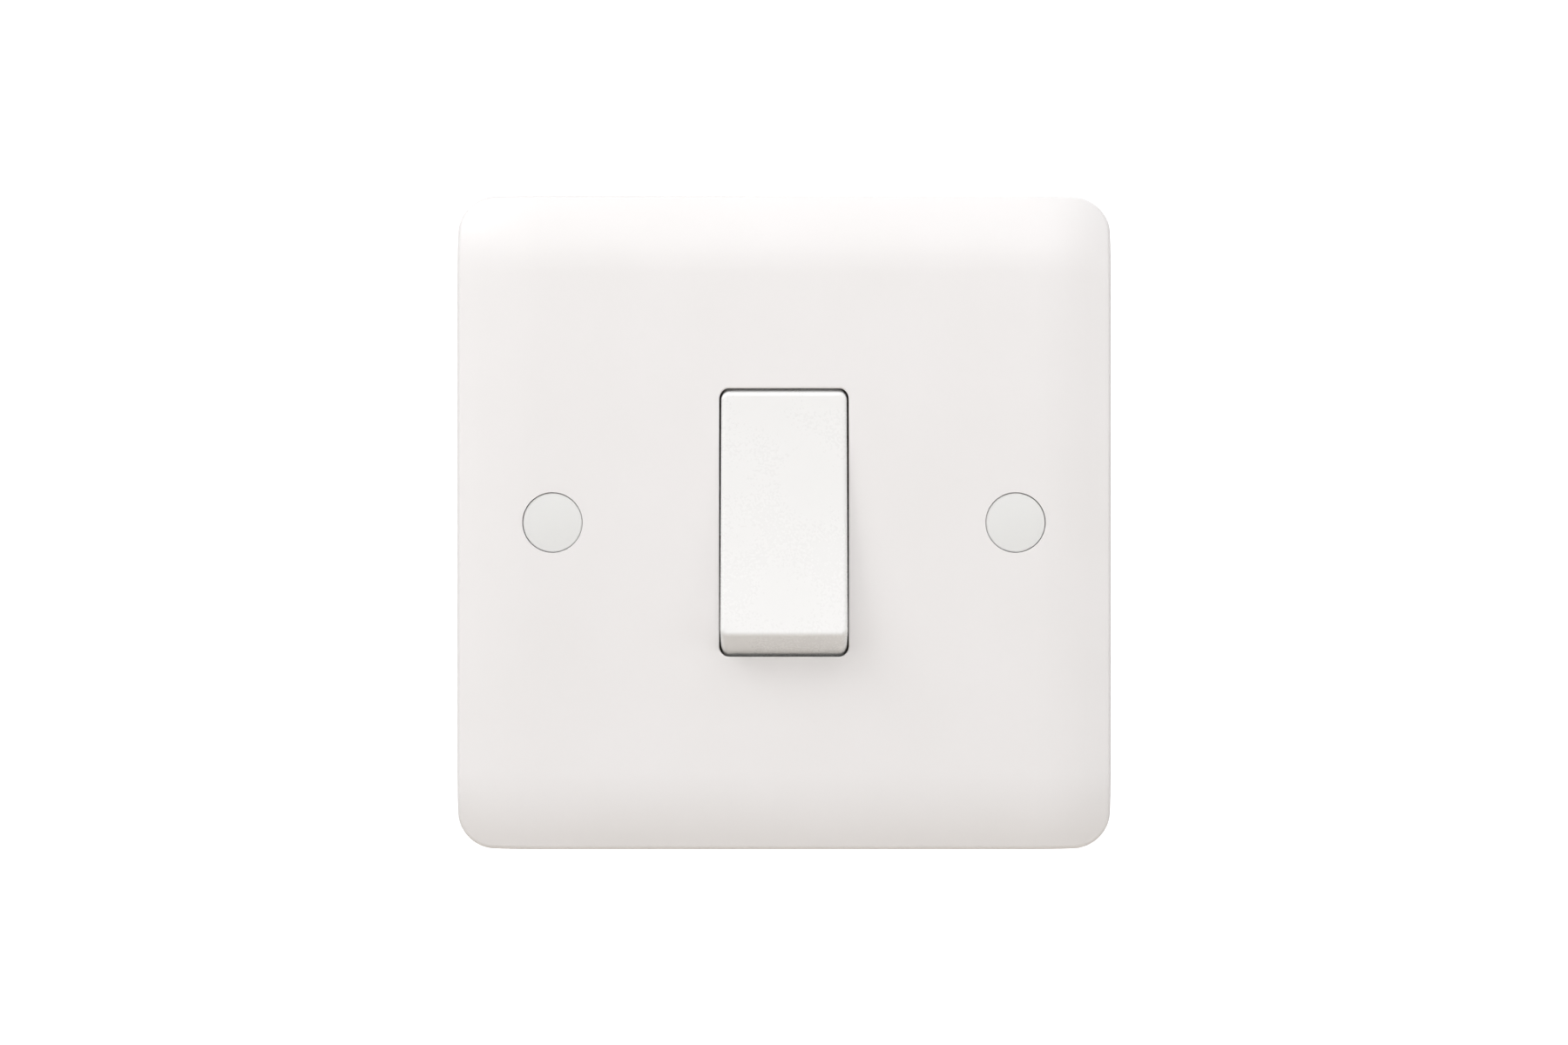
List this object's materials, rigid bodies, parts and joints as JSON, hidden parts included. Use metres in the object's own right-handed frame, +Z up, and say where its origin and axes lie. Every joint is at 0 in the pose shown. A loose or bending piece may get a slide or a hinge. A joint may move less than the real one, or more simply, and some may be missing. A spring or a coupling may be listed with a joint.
{
  "type": "rocker wall switch",
  "caption": "Square white wall plate with a central light-switch rocker, covered screw heads at either side and a see-saw contact mechanism with screw terminals behind.",
  "frame": {"origin": "centre of the faceplate's rear rim, in the plane of the wall", "axes": "+X to the right seen from the room, +Z up, +Y into the wall"},
  "size_m": [0.086, 0.0331, 0.086],
  "materials": {
    "plate_white": "satin moulded thermoset",
    "rocker_white": "smooth moulded",
    "cap_white": "smooth moulded",
    "cover_white": "matt moulded",
    "base_grey": "matt moulded thermoset",
    "plunger_nylon": "smooth",
    "spring_steel": "drawn wire",
    "contact_copper": "stamped strip",
    "contact_silver": "cold headed",
    "terminal_brass": "pressed and tapped",
    "screw_brass": "turned",
    "screw_zinc": "zinc plated",
    "screw_nickel": "nickel plated",
    "washer_fibre": "pressed fibre"
  },
  "bodies": {
    "housing": {"faceplate": "plate_white", "mechanism_cover": "cover_white", "mechanism_base": "base_grey", "base_screws": "screw_zinc", "common_terminal": "terminal_brass", "l1_terminal": "terminal_brass", "l2_terminal": "terminal_brass", "l1_fixed_contact": "contact_silver", "l2_fixed_contact": "contact_silver", "fixing_screws": "screw_nickel", "fixing_screw_washers": "washer_fibre"},
    "rocker_body": {"rocker": "rocker_white", "plunger_spring": "spring_steel"},
    "plunger_body": {"plunger": "plunger_nylon"},
    "see_saw": {"moving_contact": "contact_copper", "moving_contact_tips": "contact_silver"},
    "common_screw": {"common_terminal_screw": "screw_brass"},
    "l1_screw": {"l1_terminal_screw": "screw_brass"},
    "l2_screw": {"l2_terminal_screw": "screw_brass"},
    "left_cap": {"screw_cap_left": "cap_white"},
    "right_cap": {"screw_cap_right": "cap_white"}
  },
  "joints": [
    {"name": "rocker_swing", "type": "hinge", "parent": "housing", "child": "rocker_body", "pos_m": [0, 0, 0], "axis": [1, 0, 0], "range_deg": [0, 13]},
    {"name": "plunger_slide", "type": "slide", "parent": "rocker_body", "child": "plunger_body", "axis": [0, -0.9936, 0.1132], "range_m": [0, 0.0012], "stiffness_N_per_m": 200, "springref_m": -0.004, "deforming": ["plunger_spring"]},
    {"name": "contact_swing", "type": "hinge", "parent": "housing", "child": "see_saw", "pos_m": [0, 0.0108, 0], "axis": [1, 0, 0], "range_deg": [-16, 0]},
    {"name": "common_screw_travel", "type": "slide", "parent": "housing", "child": "common_screw", "axis": [0, -1, 0], "range_m": [0, 0.0026]},
    {"name": "l1_screw_travel", "type": "slide", "parent": "housing", "child": "l1_screw", "axis": [0, -1, 0], "range_m": [0, 0.0026]},
    {"name": "l2_screw_travel", "type": "slide", "parent": "housing", "child": "l2_screw", "axis": [0, -1, 0], "range_m": [0, 0.0026]},
    {"name": "left_cap_pull", "type": "slide", "parent": "housing", "child": "left_cap", "axis": [0, -1, 0], "range_m": [0, 0.012]},
    {"name": "right_cap_pull", "type": "slide", "parent": "housing", "child": "right_cap", "axis": [0, -1, 0], "range_m": [0, 0.012]}
  ],
  "couplings": [
    {"joint": "contact_swing", "follows": "rocker_swing", "ratio": -1.2308}
  ]
}
